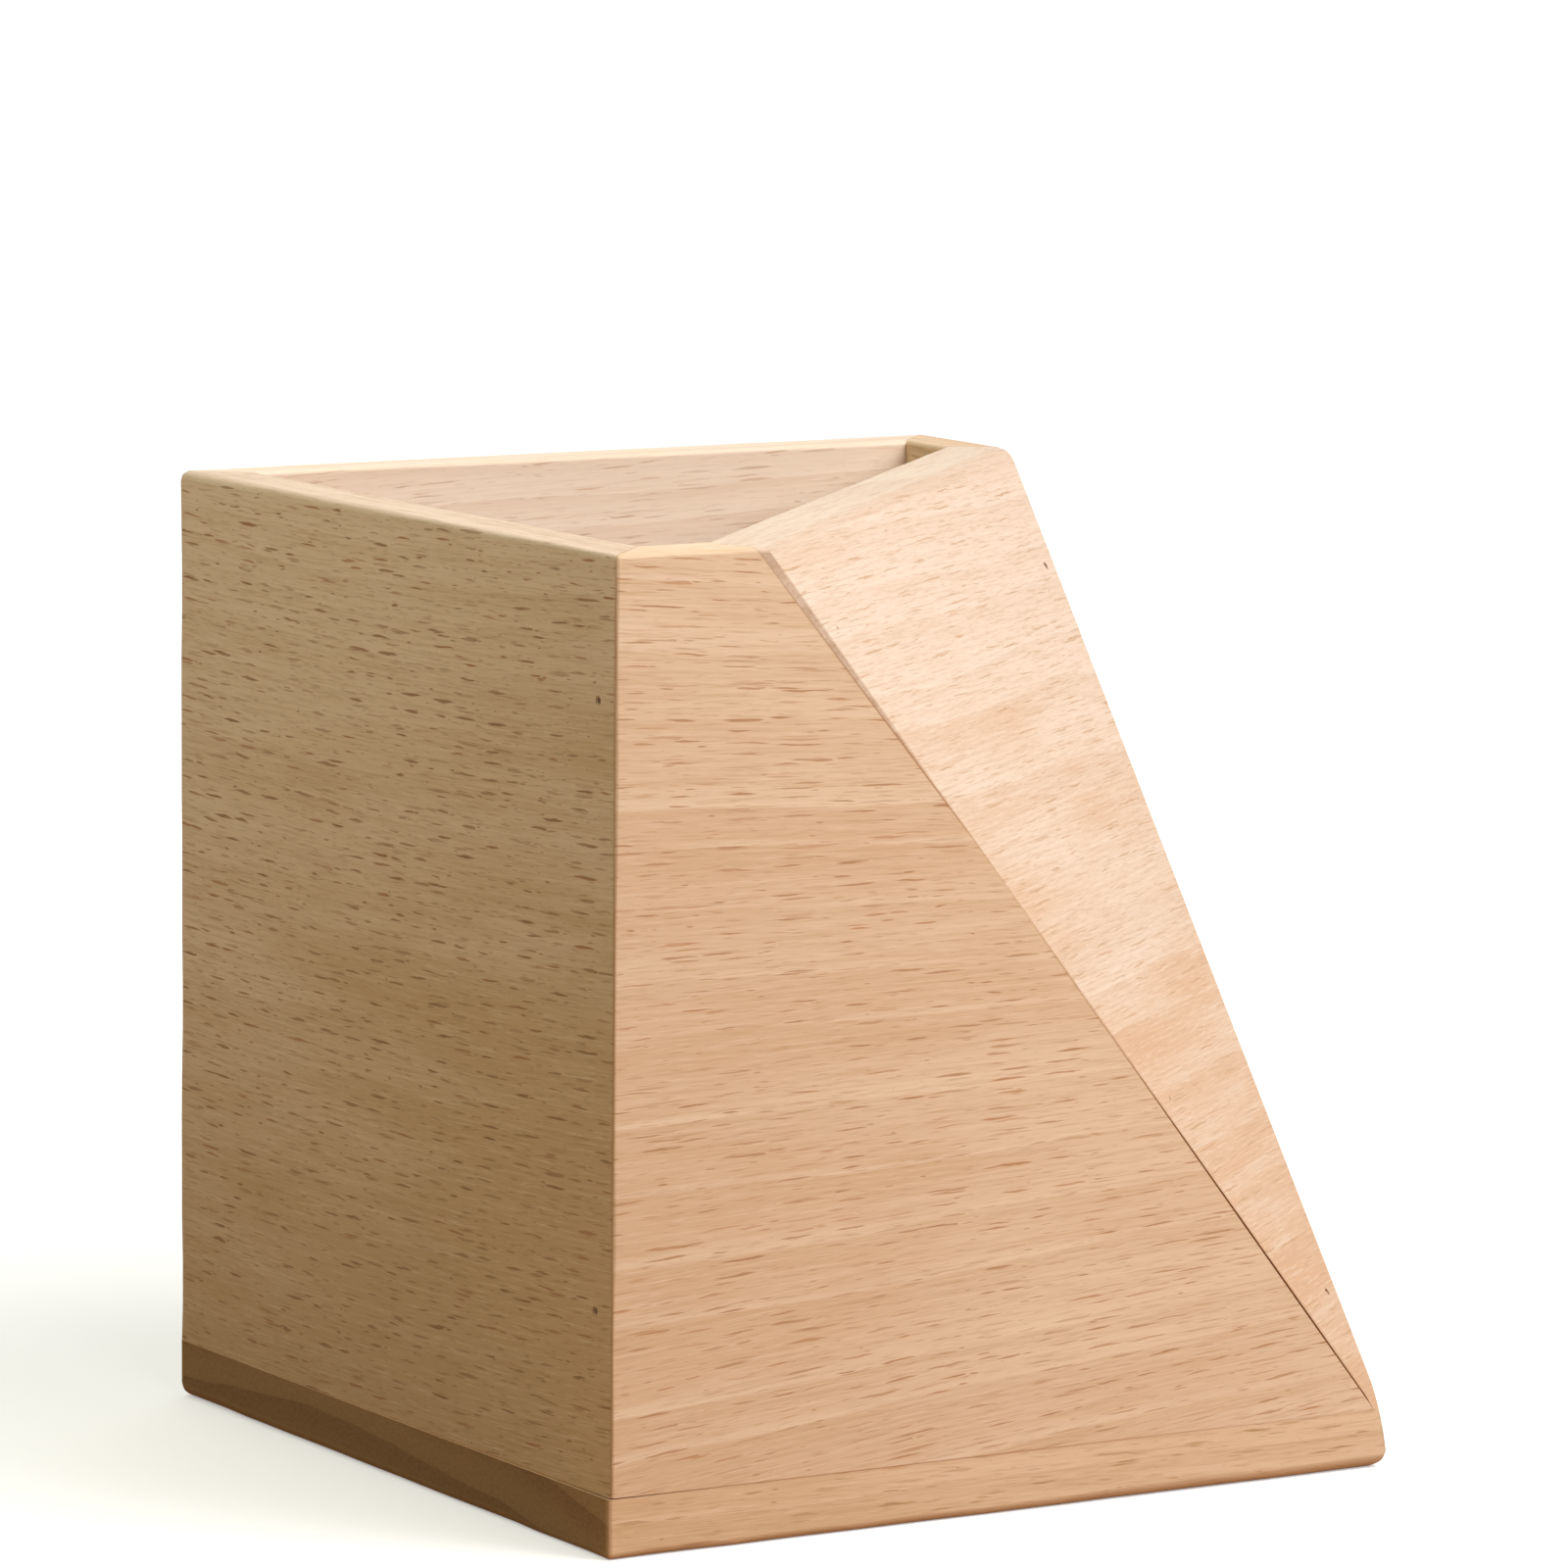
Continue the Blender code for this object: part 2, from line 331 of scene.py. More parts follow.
def new_group(name, inputs, outputs):
    """An empty node group, with its inputs and outputs by name."""
    group = bpy.data.node_groups.new(name, "ShaderNodeTree")
    for title, kind in inputs.items():
        group.interface.new_socket(title, in_out="INPUT", socket_type="NodeSocket" + kind)
    for title, kind in outputs.items():
        group.interface.new_socket(title, in_out="OUTPUT", socket_type="NodeSocket" + kind)
    given = group.nodes.new("NodeGroupInput").outputs
    made = group.nodes.new("NodeGroupOutput").inputs
    return group, given, made


FIGURE_MASKS = (
    "Late Wood", "Early Line", "Flecks", "Fleck Hue", "Fine Flecks", "Fibre", "Cloud", "End Grain"
)


def beech_figure():
    """Beech as a solid, in millimetres: rings round a distant pith, ray flecks, fibres, cloudy colour with
    painted shade drifting over it, and end grain."""
    group, given, made = new_group(
        "beech_figure",
        {
            "Place": "Vector", "Facing": "Vector", "Grain Way": "Vector", "Face Way": "Vector",
            "Plank Shift": "Vector", "Drift": "Vector", "Drift From": "Vector",
            "Slope": "Float", "Fan": "Float", "Bow": "Float",
            "Ring Width": "Float", "Pith Across": "Float", "Pith Below": "Float",
            "Fleck Length": "Float", "Fleck Height": "Float", "Fleck Size": "Float",
        },
        dict.fromkeys(FIGURE_MASKS, "Float"),
    )

    # The grain leans, fans out and bows a little over the face of a board
    x, y, z = place(group, "SeparateXYZ", given["Place"]).values()
    fanned = reckon(group, "MULTIPLY_ADD", given["Fan"], y, given["Slope"])
    lean = reckon(group, "MULTIPLY_ADD", given["Bow"], x, fanned)
    level = reckon(group, "SUBTRACT", y, reckon(group, "MULTIPLY", x, lean))
    straight = place(group, "CombineXYZ", x, level, z)["Vector"]
    plank = place(group, "VectorMath", straight, given["Plank Shift"], operation="ADD")["Vector"]

    def in_grains(*size):
        """The place in the plank, counted in grains of this length, height and depth."""
        return place(group, "VectorMath", plank, size, operation="DIVIDE")["Vector"]

    # The rings run round the pith, which lies along the plank at some distance from the board
    across = reckon(group, "SUBTRACT", level, given["Pith Across"])
    below = reckon(group, "ADD", z, given["Pith Below"])
    from_pith = place(group, "CombineXYZ", 0.0, across, below)["Vector"]
    radius = place(group, "VectorMath", from_pith, operation="LENGTH")["Value"]
    waver = reckon(group, "MULTIPLY", cloudy(group, in_grains(55, 16, 30), 2.0), 4.0)
    years = reckon(group, "DIVIDE", reckon(group, "ADD", radius, waver), given["Ring Width"])
    season = place(group, "TexNoise", years, Scale=0.6, Detail=1.0, noise_dimensions="1D")["Fac"]
    year = reckon(group, "FRACT", reckon(group, "MULTIPLY_ADD", season, 1.3, years))
    fall = reckon(group, "MULTIPLY", ramp(group, year, 0.3, 0.96), ramp(group, year, 0.98, 1.0, 1.0, 0.0))
    group.links.new(fall, made["Late Wood"])
    pale = reckon(group, "MULTIPLY", ramp(group, year, 0.0, 0.03), ramp(group, year, 0.04, 0.2, 1.0, 0.0))
    faded = ramp(group, cloudy(group, in_grains(45, 5, 20), 2.0), 0.35, 0.6, 0.25, 1.0)
    group.links.new(reckon(group, "MULTIPLY", pale, faded), made["Early Line"])

    # The fibres are fine streaks of two lengths
    long_fibres = cloudy(group, in_grains(13, 0.4, 0.7), 3.0, 0.65)
    short_fibres = cloudy(group, in_grains(3.0, 0.15, 0.2), 2.0, 0.6)
    fibres = reckon(group, "MULTIPLY_ADD", long_fibres, 0.6, reckon(group, "MULTIPLY", short_fibres, 0.4))
    group.links.new(fibres, made["Fibre"])

    # The rays are thin sheets of short cells that stand square to the face, which cuts them into flecks
    crowding = ramp(group, cloudy(group, in_grains(14, 5, 20), 2.0), 0.28, 0.6, 0.6, 1.0)
    wander = place(group, "TexNoise", in_grains(3.5, 1.2, 6.0), Scale=1.0, Detail=1.0)["Color"]
    bent = place(group, "VectorMath", wander, (2.0, 0.4, 0.0), plank, operation="MULTIPLY_ADD")["Vector"]
    flecks = []
    for scale in (1.0, 0.78, 0.42):
        length = reckon(group, "MULTIPLY", given["Fleck Length"], scale)
        tall = reckon(group, "MULTIPLY", given["Fleck Height"], scale)
        size = place(group, "CombineXYZ", length, tall, 1.0)["Vector"]
        where = place(group, "VectorMath", bent, size, operation="DIVIDE")["Vector"]
        ray = place(group, "TexVoronoi", where, Scale=1.0, Randomness=1.0, voronoi_dimensions="2D")
        luck, tone, tint = place(group, "SeparateColor", ray["Color"]).values()
        aside = place(group, "VectorMath", where, ray["Position"], operation="SUBTRACT")["Vector"]
        along, over, _ = place(group, "SeparateXYZ", aside).values()
        reach = reckon(group, "MULTIPLY", ramp(group, luck, 0.1, 0.8, 0.25, 1.0), given["Fleck Size"])
        share = reckon(group, "DIVIDE", along, reckon(group, "MULTIPLY", reach, crowding))
        share_squared = reckon(group, "MULTIPLY", share, share)
        taper = reckon(group, "MAXIMUM", reckon(group, "SUBTRACT", 1.0, share_squared), 0.0)
        ragged = ramp(group, short_fibres, 0.35, 0.65, -0.025, 0.025)
        plump = reckon(group, "MULTIPLY", taper, reckon(group, "MULTIPLY_ADD", luck, 0.06, 0.07))
        plump = reckon(group, "MULTIPLY_ADD", taper, ragged, plump)
        depth = reckon(group, "SUBTRACT", plump, reckon(group, "ABSOLUTE", over))
        body = ramp(group, depth, 0.0, 0.06)
        dark = reckon(group, "MULTIPLY", body, ramp(group, tone, 0.1, 1.0, 0.25, 1.0))
        flecks.append((dark, tint))
    both = reckon(group, "MAXIMUM", flecks[0][0], flecks[1][0])
    group.links.new(flecks[0][1], made["Fleck Hue"])

    # The edges and ends of a board show few flecks
    square_on = place(
        group, "VectorMath", given["Facing"], given["Face Way"], operation="DOT_PRODUCT"
    )["Value"]
    showing = ramp(group, reckon(group, "ABSOLUTE", square_on), 0.5, 0.95, 0.15, 1.0)
    group.links.new(reckon(group, "MULTIPLY", flecks[2][0], showing), made["Fine Flecks"])
    cells = reckon(group, "MULTIPLY", ramp(group, fibres, 0.35, 0.6, 0.7, 1.1), showing)
    group.links.new(reckon(group, "MULTIPLY", both, cells), made["Flecks"])

    # The tone is cloudy, and painted shade drifts over it, darkening and warming each board one way
    past = place(group, "VectorMath", given["Place"], given["Drift From"], operation="SUBTRACT")["Vector"]
    painted_shade_drift = place(group, "VectorMath", past, given["Drift"], operation="DOT_PRODUCT")["Value"]
    cloud_and_painted_shade = reckon(group, "MULTIPLY_ADD", painted_shade_drift, 0.01, cloudy(group, in_grains(60, 9, 14), 3.0))
    group.links.new(cloud_and_painted_shade, made["Cloud"])

    # What faces along the grain is end grain
    along = place(
        group, "VectorMath", given["Facing"], given["Grain Way"], operation="DOT_PRODUCT"
    )["Value"]
    group.links.new(ramp(group, reckon(group, "ABSOLUTE", along), 0.5, 0.95), made["End Grain"])
    return group


END_RING_SHADE = (0.68, 0.62, 0.55)


def oiled_wood():
    """The colour, roughness and relief that thin oil and sanding give to the figure of the wood, with
    painted shade where the figure drifts and in the open joints.
    """
    tones = ("Pale", "Warm", "Deep", "Fleck Brown", "Fleck Red", "End Brown", "Stain Brown")
    strengths = ("Late Strength", "Early Strength", "Fibre Strength", "Fleck Strength", "Fine Strength",
                 "End Strength", "Wear Strength")
    group, given, made = new_group(
        "oiled_wood",
        {
            **dict.fromkeys(FIGURE_MASKS + ("Joint Stain", "Edge Wear"), "Float"),
            **dict.fromkeys(tones, "Color"),
            **dict.fromkeys(strengths, "Float"),
        },
        {"Colour": "Color", "Roughness": "Float", "Relief": "Float"},
    )

    def tinted(colour, tint, mask, strength=None):
        """The colour, turned towards a tint where the mask shows, by the strength of that name."""
        share = mask if strength is None else reckon(group, "MULTIPLY", mask, given[strength])
        return place(group, "Mix", share, colour, given[tint], data_type="RGBA")["Result"]

    # Pale turns warm with the cloud, and with the painted shade that drifts over it
    colour = tinted(given["Pale"], "Warm", ramp(group, given["Cloud"], 0.25, 0.8, 0.2, 1.0))
    colour = tinted(colour, "Deep", given["Late Wood"], "Late Strength")
    colour = tinted(colour, "Pale", given["Early Line"], "Early Strength")
    colour = tinted(colour, "Deep", ramp(group, given["Fibre"], 0.47, 0.64), "Fibre Strength")
    colour = tinted(colour, "Pale", ramp(group, given["Fibre"], 0.48, 0.36), "Fibre Strength")
    colour = tinted(colour, "Fleck Brown", given["Fine Flecks"], "Fine Strength")
    red_share = ramp(group, given["Fleck Hue"], 0.55, 1.0)
    ray_brown = tinted(given["Fleck Brown"], "Fleck Red", red_share)
    ray_share = reckon(group, "MULTIPLY", given["Flecks"], given["Fleck Strength"])
    colour = place(group, "Mix", ray_share, colour, ray_brown, data_type="RGBA")["Result"]
    colour = tinted(colour, "End Brown", given["End Grain"], "End Strength")
    pores = ramp(group, given["Fibre"], 0.46, 0.58, 0.0, 0.3)
    ring_share = reckon(group, "MULTIPLY_ADD", given["Late Wood"], 0.7, pores)
    end_rings = reckon(group, "MULTIPLY", given["End Grain"], ring_share)
    colour = place(
        group, "Mix", end_rings, colour, (*END_RING_SHADE, 1.0), data_type="RGBA", blend_type="MULTIPLY"
    )["Result"]
    colour = tinted(colour, "Deep", given["Edge Wear"], "Wear Strength")
    # Glue and dust at the joints, and painted shade inside the crack and the opened base joint
    colour = tinted(colour, "Stain Brown", given["Joint Stain"])
    group.links.new(colour, made["Colour"])

    open_grain = ramp(group, given["Fibre"], 0.3, 0.7, 0.46, 0.6)
    dull_ends = reckon(group, "MULTIPLY_ADD", given["End Grain"], 0.14, open_grain)
    rubbed = reckon(group, "MULTIPLY_ADD", given["Edge Wear"], -0.06, dull_ends)
    group.links.new(rubbed, made["Roughness"])
    sunk = reckon(group, "MULTIPLY", given["Flecks"], -0.5)
    group.links.new(reckon(group, "MULTIPLY_ADD", given["Fibre"], 0.7, sunk), made["Relief"])
    return group


figure = beech_figure()
finish = oiled_wood()
# The brown of glue and dust at the joints, which also paints the shade inside the crack and the opened joint
STAIN_AND_GAP_SHADE_BROWN = (0.40, 0.17, 0.055)
WOOD_GLOSS = 0.35
RELIEF_DEPTH = 0.05 * MM
RELIEF_STRENGTH = 0.4


def beech(name, grain_way, face_way, figure_values, finish_values):
    """Oiled beech with its own place in the plank, and its own colours and strengths."""
    material = bpy.data.materials.new(name)
    material.use_nodes = True
    tree = material.node_tree
    shader = tree.nodes["Principled BSDF"]
    masks = place(
        tree, "Group", node_tree=figure, **figure_values,
        Grain_Way=grain_way.normalized(), Face_Way=face_way,
        Place=place(tree, "Attribute", attribute_name="place_in_board")["Vector"],
        Facing=place(tree, "TexCoord")["Normal"],
    )
    masks = {title.replace(" ", "_"): mask for title, mask in masks.items()}
    colours = {title: (*value, 1.0) for title, value in finish_values.items() if isinstance(value, tuple)}
    wood = place(
        tree, "Group", node_tree=finish, **masks, **{**finish_values, **colours},
        Joint_Stain=place(tree, "Attribute", attribute_name="joint_stain")["Fac"],
        Edge_Wear=place(tree, "Attribute", attribute_name="edge_wear")["Fac"],
        Stain_Brown=(*STAIN_AND_GAP_SHADE_BROWN, 1.0),
    )
    relief = place(tree, "Bump", Strength=RELIEF_STRENGTH, Distance=RELIEF_DEPTH, Height=wood["Relief"])
    tree.links.new(wood["Colour"], shader.inputs["Base Color"])
    tree.links.new(wood["Roughness"], shader.inputs["Roughness"])
    tree.links.new(relief["Normal"], shader.inputs["Normal"])
    shader.inputs["Specular IOR Level"].default_value = WOOD_GLOSS
    return material


base_flats = [foot, base_left, back_face, front_face, right_face, moved(base_joint, -HAIRLINE / 2)]
base_piece = sanded(sawn(base_flats), "base_stock", [
    (foot, base_left, 1.6 * MM), (foot, back_face, 1.3 * MM),
    (foot, front_face, 1.4 * MM), (foot, right_face, 1.9 * MM),
    (base_left, back_face, 1.7 * MM), (base_left, front_face, 1.4 * MM),
    (back_face, right_face, 1.2 * MM), (front_face, right_face, 0.6 * MM),
])
tip_block = helper_from(sawn(tip_cuts), "tip_block")
cut_with(base_piece, "INTERSECT", tip_block)
FOOT_MOUTH = 0.38 * MM
left_foot_bore, back_foot_bore, front_foot_bore, right_foot_bore = (
    bore("pin_base_" + side, UPWARD, FOOT_MOUTH) for side in ("left", "back", "front", "right")
)
cut_with(base_piece, "DIFFERENCE", left_foot_bore, back_foot_bore, front_foot_bore, right_foot_bore)
base_beech = beech(
    "beech_base", RIGHTWARD, front_face[1],
    # Drift paints shade: the base darkens and warms towards its left end
    dict(Drift=(-0.4, 0, 0), Drift_From=(55, 0, 0), Plank_Shift=(40, 7, 3), Ring_Width=6.5,
         Pith_Across=-250, Pith_Below=58, Fleck_Length=7.5, Fleck_Height=1.6, Fleck_Size=0.38),
    dict(Pale=(0.81, 0.60, 0.41), Warm=(0.70, 0.47, 0.28), Deep=(0.57, 0.36, 0.19),
         Fleck_Brown=(0.47, 0.28, 0.13), Fleck_Red=(0.53, 0.27, 0.12), End_Brown=(0.285, 0.158, 0.066),
         Late_Strength=0.25, Early_Strength=0.4, Fibre_Strength=0.5, Fleck_Strength=0.8, Fine_Strength=0.4,
         End_Strength=0.92, Wear_Strength=0.3),
)
base_board = finished(base_piece, "base_board", front_face, RIGHTWARD, [(base_joint, 0.15)],
                      base_flats + tip_cuts, base_beech)

# The left wall
# A full rectangle of beech with its grain lying level, mitred at both ends. Its pins go through its front
# end into the front wall. It was sanded back a hair towards that corner, so the base stands proud there.

LEFT_SANDED_BACK = 0.3 * MM
PANEL_THICKNESS = 5.9 * MM
wall_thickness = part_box("left_wall")[1].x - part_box("left_wall")[0].x
sanded_foot = corner(-1, -1, 0) + RIGHTWARD * LEFT_SANDED_BACK
left_face = through(corner(-1, 1, 0), corner(-1, 1, height), sanded_foot)
left_inside = (base_left[0] + RIGHTWARD * wall_thickness, LEFTWARD)
back_inside = moved(back_face, -wall_thickness)
front_inside = moved(front_face, -wall_thickness)
right_inside = moved(right_face, -wall_thickness)
slope_inside = moved(slope, -PANEL_THICKNESS)


def mitre(outer, inner):
    """The joint plane through the outer and the inner edge where two boards meet."""
    return through(meeting(*outer, rim), meeting(*outer, foot), meeting(*inner, rim))


back_left_joint = mitre((back_face, left_face), (back_inside, left_inside))
front_left_joint = mitre((front_face, left_face), (front_inside, left_inside))
back_right_joint = mitre((back_face, right_face), (back_inside, right_inside))
right_slope_joint = mitre((right_face, slope), (right_inside, slope_inside))

OUTER_ROUND = 1.1 * MM
INNER_ROUND = 0.4 * MM
SLOPE_ROUND = 0.2 * MM
FAR_CORNER_ROUND = 1.6 * MM
NEAR_CORNER_ROUND = 0.8 * MM
outsides = [left_face, back_face, right_face, slope, front_face]
insides = [left_inside, back_inside, right_inside, slope_inside, front_inside]


def whole_cup():
    """The walls and the panel in one piece, with every edge sanded. The boards are cut to its faces."""
    outer = sawn([rim, foot] + outsides)
    # The hollow ends a little below the base joint, where the walls are sawn off
    hollow = sawn([rim, (base_joint[0] / 2, -UPWARD)] + insides)
    bmesh.ops.reverse_faces(hollow, faces=hollow.faces)
    hollow_mesh = bpy.data.meshes.new("hollow")
    hollow.to_mesh(hollow_mesh)
    hollow.free()
    outer.from_mesh(hollow_mesh)
    bpy.data.meshes.remove(hollow_mesh)

    def at_rim(item):
        """Whether an edge or a face lies in the rim."""
        return all(gap_to(rim, end.co) < TOUCHING for end in item.verts)

    rim_edges = [edge for edge in outer.edges if at_rim(edge)]
    bmesh.ops.delete(outer, geom=[side for side in outer.faces if at_rim(side)], context="FACES_ONLY")
    bmesh.ops.bridge_loops(outer, edges=rim_edges)
    bmesh.ops.recalc_face_normals(outer, faces=outer.faces)
    roundings = [(rim, side, OUTER_ROUND) for side in outsides]
    roundings += [(rim, side, INNER_ROUND) for side in insides]
    return sanded(outer, "whole_cup", roundings + [
        (left_face, back_face, FAR_CORNER_ROUND), (back_face, right_face, FAR_CORNER_ROUND),
        (left_face, front_face, NEAR_CORNER_ROUND), (right_face, front_face, NEAR_CORNER_ROUND),
        (slope, front_face, SLOPE_ROUND), (slope, right_face, SLOPE_ROUND),
    ])


cup = whole_cup()


def board_stock(name, inside, joints):
    """A block sawn off at its joints, half a hairline short of each, on the side of the inside point."""
    return helper_from(sawn([moved(away_from(inside, joint), -HAIRLINE / 2) for joint in joints]), name)


# The glue joint to the base has opened a little at the near corner
FRONT_OPENING = 14 * MM  # how far it is open along the front
LEFT_OPENING = 12 * MM
OPENING = 0.10 * MM  # its height at the corner
near_corner = meeting(left_face, front_face, base_joint)
opened_joint = through(
    near_corner + RIGHTWARD * FRONT_OPENING, near_corner + BACKWARD * LEFT_OPENING,
    near_corner + UPWARD * OPENING,
)

cup_flats = [rim, foot] + outsides + insides + tip_cuts
# The full-strength stain on the opened joint is painted shade inside that gap
left_joints = [(back_left_joint, 0.3), (front_left_joint, 0.75), (base_joint, 0.2), (opened_joint, 1.0)]
inside_left_wall = corner(-0.97, 0, height / 2)
left_piece = board_stock("left_stock", inside_left_wall, [joint for joint, _ in left_joints])
WALL_MOUTH = 0.5 * MM
left_front_bores = [bore("pin_left_front_" + level, RIGHTWARD, WALL_MOUTH) for level in ("upper", "lower")]
back_left_bores = [bore("pin_back_left_" + level, FRONTWARD, WALL_MOUTH) for level in ("upper", "lower")]
cut_with(left_piece, "INTERSECT", cup)
cut_with(left_piece, "DIFFERENCE", *left_front_bores, *back_left_bores, left_foot_bore)
left_beech = beech(
    "beech_left", FRONTWARD, left_face[1],
    # Drift paints shade: the wall darkens and warms towards its front end and its foot
    dict(Drift=(0.4, -0.72, 0), Drift_From=(45, 58, 0), Slope=-0.02, Bow=0.0004, Ring_Width=3.2,
         Pith_Across=-30, Pith_Below=90, Fleck_Length=6.0, Fleck_Height=1.75, Fleck_Size=0.46),
    dict(Pale=(0.75, 0.575, 0.44), Warm=(0.57, 0.38, 0.23), Deep=(0.48, 0.305, 0.176),
         Fleck_Brown=(0.31, 0.168, 0.088), Fleck_Red=(0.41, 0.195, 0.11), End_Brown=(0.42, 0.25, 0.13),
         Late_Strength=0.15, Early_Strength=0.15, Fibre_Strength=0.5, Fleck_Strength=1.0, Fine_Strength=0.5,
         End_Strength=0.5, Wear_Strength=0.3),
)
left_wall = finished(left_piece, "left_wall", left_face, FRONTWARD, left_joints, cup_flats, left_beech)

# The back wall
# The same rectangle again, mitred at both ends. It is pinned from behind into the ends of the left and
# right walls.

back_joints = [(back_left_joint, 0.3), (back_right_joint, 0.3), (base_joint, 0.3)]
inside_back_wall = corner(0, 0.97, height / 2)
back_piece = board_stock("back_stock", inside_back_wall, [joint for joint, _ in back_joints])
back_right_bores = [bore("pin_back_right_" + level, FRONTWARD, WALL_MOUTH) for level in ("upper", "lower")]
cut_with(back_piece, "INTERSECT", cup)
cut_with(back_piece, "DIFFERENCE", *back_left_bores, *back_right_bores, back_foot_bore)
# Its tones are paler than the other boards': painted light, standing in for the strong light on its inner
# face
back_beech = beech(
    "beech_back", LEFTWARD, back_face[1],
    dict(Plank_Shift=(210, 33, 40), Slope=0.02, Fan=-0.0004, Bow=-0.0002, Ring_Width=3.6, Pith_Across=20,
         Pith_Below=70, Fleck_Length=8.5, Fleck_Height=1.5, Fleck_Size=0.4),
    dict(Pale=(0.86, 0.71, 0.57), Warm=(0.78, 0.61, 0.46), Deep=(0.68, 0.48, 0.34),
         Fleck_Brown=(0.52, 0.34, 0.22), Fleck_Red=(0.62, 0.38, 0.24), End_Brown=(0.44, 0.26, 0.14),
         Late_Strength=0.35, Early_Strength=0.3, Fibre_Strength=0.3, Fleck_Strength=0.7, Fine_Strength=0.4,
         End_Strength=0.5, Wear_Strength=0.3),
)
back_wall = finished(back_piece, "back_wall", back_face, LEFTWARD, back_joints, cup_flats, back_beech)

# The front wall
# Narrow at the rim and full width at the foot. Its sloping edge is bevelled for the panel, and was planed
# a little further back near the rim, where the edge of the panel shows beside it.

# How far left of the edge the joint with the panel shows, by height, in millimetres
JOINT_LINE = [(0, 0.4), (70, 0.1), (100, 1.35)]
LOWER_RUN = (5, 65)  # two heights on each straight run of that line
UPPER_RUN = (75, 100)
inside_front_wall = corner(-0.9, -0.97, height / 2)
along_slope = (slope_tip - slope_front).normalized()


def on_front_edge(level):
    """The point at this height on the edge between the front face and the sloping face."""
    return meeting(front_face, slope, (UPWARD * level, UPWARD))


def on_joint_line(level):
    """The point at this height where the joint with the panel shows in the front face."""
    bend = 1 if level < JOINT_LINE[1][0] * MM else 2
    (low, left_low), (high, left_high) = JOINT_LINE[bend - 1:bend + 1]
    share = (level / MM - low) / (high - low)
    return on_front_edge(level) + LEFTWARD * (left_low + (left_high - left_low) * share) * MM


front_slope_joint, planed_joint = (
    through(on_joint_line(low * MM), on_joint_line(high * MM), meeting(front_inside, slope_inside, end))
    for (low, high), end in ((LOWER_RUN, foot), (UPPER_RUN, rim))
)

# The panel runs out to a point at the foot, and under it the front and right walls meet in a mitre
under_point_joint = through(
    meeting(front_slope_joint, right_slope_joint, front_face),
    meeting(front_slope_joint, right_slope_joint, front_inside),
    meeting(front_inside, right_inside, foot),
)


def open_crack(name, openings, depth):
    """The thin open wedge along the sloping joint, from its width at several heights, in millimetres."""
    inward = -(front_face[1] + slope[1]).normalized()
    sideways = along_slope.cross(inward)
    wedge = bmesh.new()
    sections = []
    for level, width in openings:
        outer = on_joint_line(level * MM) - inward * OVERRUN
        to_side = sideways * (width * MM / 2)
        inner = on_joint_line(level * MM) + inward * depth
        sections.append([wedge.verts.new(point) for point in (outer + to_side, outer - to_side, inner)])
    for upper, lower in zip(sections, sections[1:]):
        for side in range(3):
            wedge.faces.new((upper[side - 1], upper[side], lower[side], lower[side - 1]))
    wedge.faces.new(sections[0])
    wedge.faces.new(sections[-1])
    bmesh.ops.recalc_face_normals(wedge, faces=wedge.faces)
    return helper_from(wedge, name)


CRACK_DEPTH = 3 * MM
CRACK_WIDTHS = [  # by height, in millimetres
    (46, 0.02), (41, 0.08), (37, 0.14), (33, 0.17), (30, 0.19), (27, 0.23),
    (23, 0.22), (19, 0.24), (15, 0.2), (11, 0.17), (8, 0.12), (5, 0.08),
]
slope_crack = open_crack("slope_crack", CRACK_WIDTHS, CRACK_DEPTH)
# The stains on the opened joint and on the sloping joint, where the crack is, are glue and also painted
# shade inside those gaps
front_joints = [
    (front_left_joint, 0.7), (front_slope_joint, 0.9), (planed_joint, 0.3), (base_joint, 0.1),
    (opened_joint, 1.0), (under_point_joint, 0.3),
]
front_piece = board_stock("front_stock", inside_front_wall, [joint for joint, _ in front_joints])


def into_panel(way):
    """The way, turned to go in from the face of the panel."""
    return -way if way.dot(slope[1]) > 0 else way


CLOSED_MOUTH = 0.2 * MM  # the wood has closed up over these two
into_front = into_panel(along_slope.cross(FRONTWARD))
slant_front_bores = [
    bore("pin_slant_front_" + level, into_front, CLOSED_MOUTH) for level in ("upper", "lower")
]
cut_with(front_piece, "INTERSECT", cup, tip_block)
cut_with(front_piece, "DIFFERENCE", slope_crack, *left_front_bores, *slant_front_bores, front_foot_bore)
front_beech = beech(
    "beech_front", RIGHTWARD, front_face[1],
    # Drift paints shade: the wall darkens and warms towards its left end and its foot
    dict(Drift=(-0.31, -0.12, 0), Drift_From=(58, 50, 0), Plank_Shift=(95, 60, 11), Slope=0.13,
         Fan=-0.0022, Ring_Width=6.4, Pith_Across=-175, Pith_Below=75,
         Fleck_Length=8.0, Fleck_Height=1.4, Fleck_Size=0.42),
    dict(Pale=(0.82, 0.62, 0.45), Warm=(0.71, 0.49, 0.31), Deep=(0.59, 0.38, 0.21),
         Fleck_Brown=(0.47, 0.25, 0.12), Fleck_Red=(0.54, 0.27, 0.13), End_Brown=(0.46, 0.27, 0.15),
         Late_Strength=0.2, Early_Strength=0.8, Fibre_Strength=0.5, Fleck_Strength=0.95, Fine_Strength=0.5,
         End_Strength=0.5, Wear_Strength=0.3),
)
front_wall = finished(
    front_piece, "front_wall", front_face, RIGHTWARD, front_joints, cup_flats, front_beech
)

# The right wall
# The mirror of the front wall, with a plain bevelled edge. Below the point of the panel it is mitred to the
# front wall, like the other corners.

